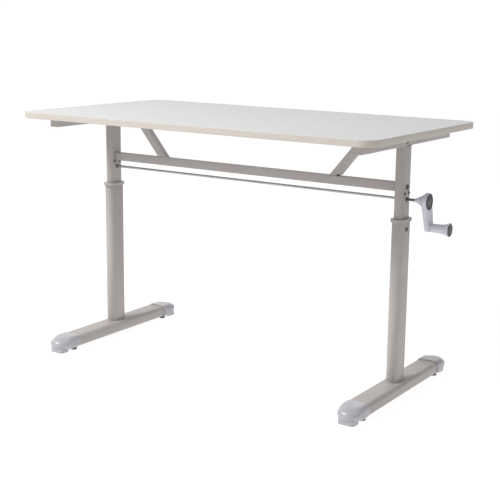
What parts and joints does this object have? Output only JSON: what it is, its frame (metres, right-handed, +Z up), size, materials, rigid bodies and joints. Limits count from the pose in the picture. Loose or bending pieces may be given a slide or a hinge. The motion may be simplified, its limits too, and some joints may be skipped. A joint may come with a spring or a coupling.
{
  "type": "height adjustable desk",
  "caption": "Height adjustable desk: rectangular round-cornered top on telescopic columns with T-shaped feet, a crossbar with slanted braces, and a hand crank on a cross shaft",
  "frame": {"origin": "on the floor, at the middle of the bounding box seen from above, crank included", "axes": "+X along the width towards the crank, +Y to the rear, +Z up"},
  "size_m": [1.265, 0.65, 0.755],
  "materials": {
    "laminate": "white melamine laminate on board, satin",
    "edging": "warm white plastic edge band",
    "powder_coat": "light warm grey powder coat, satin",
    "grey_plastic": "light violet-grey moulded plastic",
    "trim_plastic": "moulded plastic in the colour of the frame",
    "dark_plastic": "charcoal moulded plastic",
    "inner_plastic": "grey nylon",
    "steel": "zinc plated or bright steel",
    "brass": "machined brass",
    "rubber": "black rubber-like foot"
  },
  "bodies": {
    "base": {"foot_tube_left": "powder_coat", "lower_tube_left": "powder_coat", "collar_left": "trim_plastic", "nut_tube_left": "steel", "lead_nut_left": "brass", "collar_screw_left": "steel", "foot_tube_right": "powder_coat", "lower_tube_right": "powder_coat", "collar_right": "trim_plastic", "nut_tube_right": "steel", "lead_nut_right": "brass", "collar_screw_right": "steel", "foot_cap_left_front": "grey_plastic", "foot_cap_left_rear": "grey_plastic", "foot_cap_right_front": "grey_plastic", "foot_cap_right_rear": "grey_plastic"},
    "top_frame": {"tabletop": "laminate", "edge_band": "edging", "crossbar": "powder_coat", "upper_tube_left": "powder_coat", "glide_left": "inner_plastic", "gear_housing_left": "inner_plastic", "shaft_bush_left": "dark_plastic", "side_rail_left": "powder_coat", "rail_screw_left": "steel", "crossbar_bolt_left": "steel", "brace_left": "powder_coat", "upper_tube_right": "powder_coat", "glide_right": "inner_plastic", "gear_housing_right": "inner_plastic", "shaft_bush_right": "dark_plastic", "side_rail_right": "powder_coat", "rail_screw_right": "steel", "crossbar_bolt_right": "steel", "brace_right": "powder_coat", "rail_cap_left_front": "trim_plastic", "housing_screw_left_front": "steel", "rail_cap_left_rear": "trim_plastic", "housing_screw_left_rear": "steel", "rail_cap_right_front": "trim_plastic", "housing_screw_right_front": "steel", "rail_cap_right_rear": "trim_plastic", "housing_screw_right_rear": "steel"},
    "drive": {"drive_shaft": "steel", "drive_gear_left": "steel", "drive_gear_right": "steel", "crank_arm": "grey_plastic", "crank_hub_cap": "dark_plastic", "grip_pin": "steel"},
    "grip": {"crank_grip": "grey_plastic", "grip_cap": "dark_plastic"},
    "screw_left": {"lead_screw_left": "steel", "driven_gear_left": "steel"},
    "screw_right": {"lead_screw_right": "steel", "driven_gear_right": "steel"},
    "leveller_left_front": {"leveller_left_front": "rubber"},
    "leveller_left_rear": {"leveller_left_rear": "rubber"},
    "leveller_right_front": {"leveller_right_front": "rubber"},
    "leveller_right_rear": {"leveller_right_rear": "rubber"}
  },
  "joints": [
    {"name": "lift", "type": "slide", "parent": "base", "child": "top_frame", "axis": [0, 0, 1], "range_m": [-0.035, 0.32]},
    {"name": "crank_turn", "type": "hinge", "parent": "top_frame", "child": "drive", "pos_m": [0.4675, 0.009, 0.5625], "axis": [1, 0, 0], "range_deg": [-2520, 23040]},
    {"name": "grip_spin", "type": "hinge", "parent": "drive", "child": "grip", "pos_m": [0.6075, 0.009, 0.4925], "axis": [1, 0, 0], "continuous": true},
    {"name": "screw_left_turn", "type": "hinge", "parent": "top_frame", "child": "screw_left", "pos_m": [-0.5525, 0.009, 0.5], "axis": [0, 0, 1], "range_deg": [-2520, 23040]},
    {"name": "screw_right_turn", "type": "hinge", "parent": "top_frame", "child": "screw_right", "pos_m": [0.4875, 0.009, 0.5], "axis": [0, 0, 1], "range_deg": [-2520, 23040]},
    {"name": "leveller_left_front_adjust", "type": "slide", "parent": "base", "child": "leveller_left_front", "axis": [0, 0, -1], "range_m": [0, 0.012]},
    {"name": "leveller_left_rear_adjust", "type": "slide", "parent": "base", "child": "leveller_left_rear", "axis": [0, 0, -1], "range_m": [0, 0.012]},
    {"name": "leveller_right_front_adjust", "type": "slide", "parent": "base", "child": "leveller_right_front", "axis": [0, 0, -1], "range_m": [0, 0.012]},
    {"name": "leveller_right_rear_adjust", "type": "slide", "parent": "base", "child": "leveller_right_rear", "axis": [0, 0, -1], "range_m": [0, 0.012]}
  ],
  "couplings": [
    {"joint": "crank_turn", "follows": "lift", "rad_per_m": 1256.6},
    {"joint": "screw_left_turn", "follows": "lift", "rad_per_m": 1256.6},
    {"joint": "screw_right_turn", "follows": "lift", "rad_per_m": 1256.6}
  ]
}
